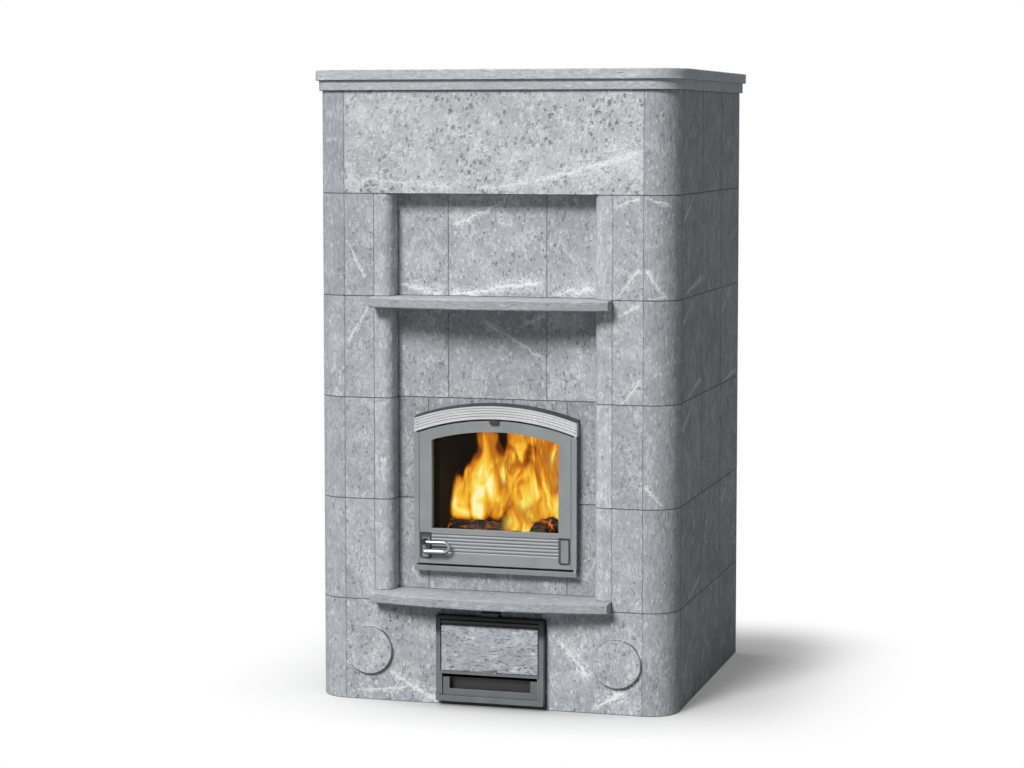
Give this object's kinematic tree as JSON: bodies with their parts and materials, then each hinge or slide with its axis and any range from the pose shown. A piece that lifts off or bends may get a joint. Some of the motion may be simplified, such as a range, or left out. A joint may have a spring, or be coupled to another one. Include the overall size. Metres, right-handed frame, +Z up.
{
  "type": "masonry heater",
  "caption": "Free-standing soapstone heater with rounded front corners, a niche with bowed shelves, an arched glazed fire door and an ash unit in the base.",
  "frame": {"origin": "middle of the stone body's plan, on the floor", "axes": "+Z up, +X to the viewer's right when facing the fire door, +Y to the rear; the door faces -Y"},
  "size_m": [1.125, 1.044, 1.86],
  "materials": {
    "soapstone": "honed grey soapstone with flecks and pale veins",
    "core_stone": "sawn, sooted",
    "insulation": "matt fibre board",
    "dark_iron": "matt black",
    "door_metal": "satin grey heat paint",
    "ash_metal": "satin dark grey heat paint",
    "steel": "bright zinc",
    "chrome": "polished",
    "glass": "clear ceramic glass",
    "rope": "woven glass rope"
  },
  "bodies": {
    "heater": {"right_corner_stones": "soapstone", "left_corner_stones": "soapstone", "right_side_panels": "soapstone", "left_side_panels": "soapstone", "rear_panels": "soapstone", "rear_flue_panel": "soapstone", "right_base_panel": "soapstone", "left_base_panel": "soapstone", "ash_plinth_stone": "soapstone", "ash_lintel_stone": "soapstone", "hearth_shelf": "soapstone", "mantel_shelf": "soapstone", "front_panels": "soapstone", "jamb_stones": "soapstone", "door_surround_stones": "soapstone", "niche_panels": "soapstone", "top_lintel_panel": "soapstone", "lower_cornice_slabs": "soapstone", "upper_cornice_slabs": "soapstone", "floor_slab": "core_stone", "footing_stones": "core_stone", "ash_pit_back_stone": "core_stone", "hearth_floor_stones": "core_stone", "firebox_stones": "core_stone", "throat_stones": "core_stone", "chamber_stones": "core_stone", "core_top_slab": "core_stone", "insulation_boards": "insulation", "expansion_strips": "insulation", "grate": "dark_iron", "door_frame": "door_metal", "door_hood": "door_metal", "door_sill_bar": "door_metal", "ash_frame": "ash_metal", "flue_collar": "steel", "latch_striker": "steel", "drawer_runners": "steel"},
    "fire_door": {"door_leaf": "door_metal", "door_hinge_pins": "steel", "glass_gasket": "rope", "door_glass": "glass", "glass_clips": "steel", "clip_screws": "steel", "door_seal": "rope", "handle_escutcheon": "door_metal", "blank_plate": "door_metal"},
    "handle": {"door_handle": "chrome", "latch_spindle": "steel"},
    "wash_tab": {"air_wash_tab": "dark_iron"},
    "ash_flap": {"ash_flap_tray": "ash_metal", "ash_flap_stone": "soapstone", "ash_flap_pull": "ash_metal", "ash_flap_rivet": "steel", "ash_flap_pins": "steel"},
    "ash_drawer": {"ash_drawer_front": "ash_metal", "ash_drawer_pan": "dark_iron"},
    "air_control": {"air_control_pull": "dark_iron", "air_control_bar": "steel"},
    "left_plug": {"left_cleaning_plug": "soapstone"},
    "right_plug": {"right_cleaning_plug": "soapstone"}
  },
  "joints": [
    {"name": "fire_door_hinge", "type": "hinge", "parent": "heater", "child": "fire_door", "pos_m": [0.241, -0.4415, 0.6], "axis": [0, 0, 1], "range_deg": [0, 110]},
    {"name": "handle_turn", "type": "hinge", "parent": "fire_door", "child": "handle", "pos_m": [-0.2125, -0.447, 0.477], "axis": [0, -1, 0], "range_deg": [0, 45]},
    {"name": "wash_tab_slide", "type": "slide", "parent": "fire_door", "child": "wash_tab", "axis": [1, 0, 0], "range_m": [-0.015, 0.015]},
    {"name": "ash_flap_hinge", "type": "hinge", "parent": "heater", "child": "ash_flap", "pos_m": [0, -0.491, 0.248], "axis": [-1, 0, 0], "range_deg": [0, 70]},
    {"name": "ash_drawer_slide", "type": "slide", "parent": "heater", "child": "ash_drawer", "axis": [0, -1, 0], "range_m": [0, 0.28]},
    {"name": "air_control_slide", "type": "slide", "parent": "heater", "child": "air_control", "axis": [0, -1, 0], "range_m": [0, 0.04]},
    {"name": "left_plug_pull", "type": "slide", "parent": "heater", "child": "left_plug", "axis": [0, -1, 0], "range_m": [0, 0.15]},
    {"name": "right_plug_pull", "type": "slide", "parent": "heater", "child": "right_plug", "axis": [0, -1, 0], "range_m": [0, 0.15]}
  ]
}
